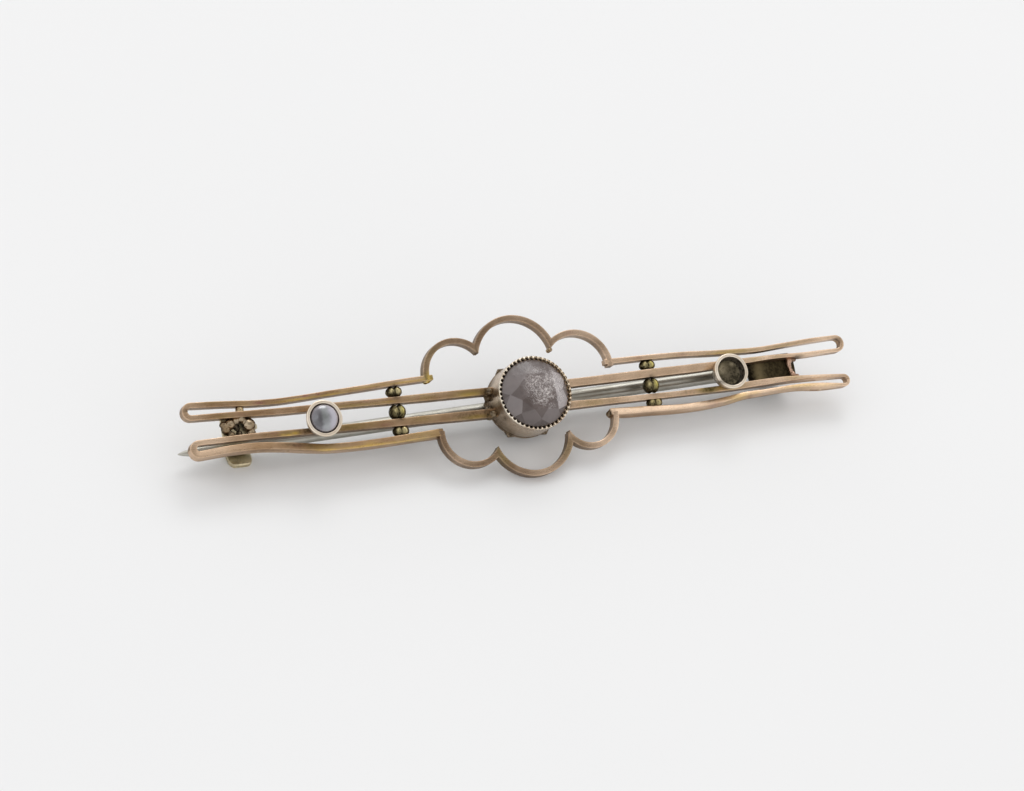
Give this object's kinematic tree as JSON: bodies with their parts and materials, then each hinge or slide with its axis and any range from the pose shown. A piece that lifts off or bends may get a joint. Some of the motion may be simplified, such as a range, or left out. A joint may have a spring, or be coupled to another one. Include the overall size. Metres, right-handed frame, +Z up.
{
  "type": "bar brooch",
  "caption": "Bar brooch of long turned strip loops with a scalloped surround, a round faceted stone in a tall collet, a half pearl, an empty cup and a hinged steel pin.",
  "frame": {"origin": "middle of the box's base, on the surface that the brooch lies on", "axes": "+X along the brooch toward the pin's hinge, +Y across it toward the upper scallops, +Z up from the surface it lies on"},
  "size_m": [0.0551, 0.0116, 0.0066],
  "materials": {
    "frame_gold": "worn rose-brown low-carat gold with soldered joints",
    "collet_gold": "pale worn gold, polished, tarnished in the corners",
    "catch_gold": "olive-brown gold, rough solder",
    "hinge_gold": "dull brown gold",
    "stone": "cut stone, smoky mauve, scratched and abraded table",
    "pearl": "grey-blue half pearl lustre",
    "pin_steel": "drawn steel, slightly dulled"
  },
  "bodies": {
    "brooch": {"frame": "frame_gold", "centre_collet": "collet_gold", "centre_stone": "stone", "pearl_collet": "collet_gold", "half_pearl": "pearl", "empty_collet": "collet_gold", "catch_hook": "catch_gold", "hinge_bracket": "hinge_gold", "hinge_rivet": "hinge_gold"},
    "pin": {"pin_stem": "pin_steel"}
  },
  "joints": [
    {"name": "pin_swing", "type": "hinge", "parent": "brooch", "child": "pin", "pos_m": [0.02167, 0.00121, 0.00148], "axis": [-0.0068, -0.8847, -0.4661], "range_deg": [0, 100]}
  ]
}
